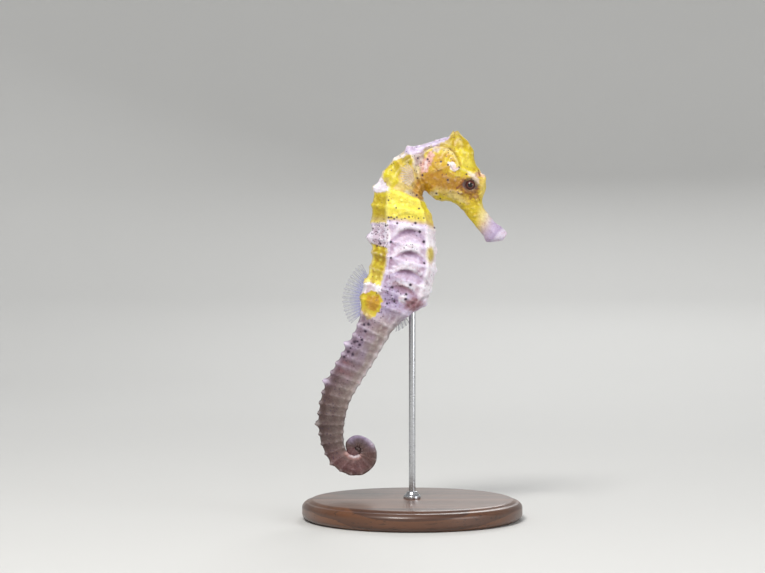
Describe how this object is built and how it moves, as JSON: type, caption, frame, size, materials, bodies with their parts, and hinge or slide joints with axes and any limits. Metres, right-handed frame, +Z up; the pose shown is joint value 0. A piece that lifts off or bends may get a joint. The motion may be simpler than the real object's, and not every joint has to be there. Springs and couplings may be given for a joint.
{
  "type": "seahorse model on a display stand",
  "caption": "Life-size seahorse with a bowed head, bony rings, yellow and lavender skin and a coiled tail, held upright by a rod on a round wooden base.",
  "frame": {"origin": "middle of the underside of the round base, where it stands on a table", "axes": "+Z up along the rod, +X the way the seahorse faces, +Y its left side; the XZ plane is its plane of symmetry"},
  "size_m": [0.066, 0.066, 0.1164],
  "materials": {
    "skin": "soft satin skin over bony rings: yellow head and bands, lavender-white flanks with dark dots, brown-pink tail",
    "fin_membrane": "thin clear membrane between pale rays, bluish near the body",
    "eye": "wet gloss, dark pupil in a brown and gold iris",
    "base_wood": "dark stained and waxed turned hardwood",
    "rod_metal": "brushed"
  },
  "bodies": {
    "root": {"snout": "skin", "head": "skin", "coronet": "skin", "neck": "skin", "trunk_upper": "skin", "trunk_lower": "skin", "tail_1": "skin", "tail_2": "skin", "tail_3": "skin", "tail_4": "skin", "tail_5": "skin", "tail_6": "skin", "tail_7": "skin", "dorsal_fin": "fin_membrane", "anal_fin": "fin_membrane", "pectoral_fin_left": "fin_membrane", "pectoral_fin_right": "fin_membrane", "eye_left": "eye", "eye_right": "eye", "stand_base": "base_wood", "stand_rod": "rod_metal"}
  },
  "joints": []
}
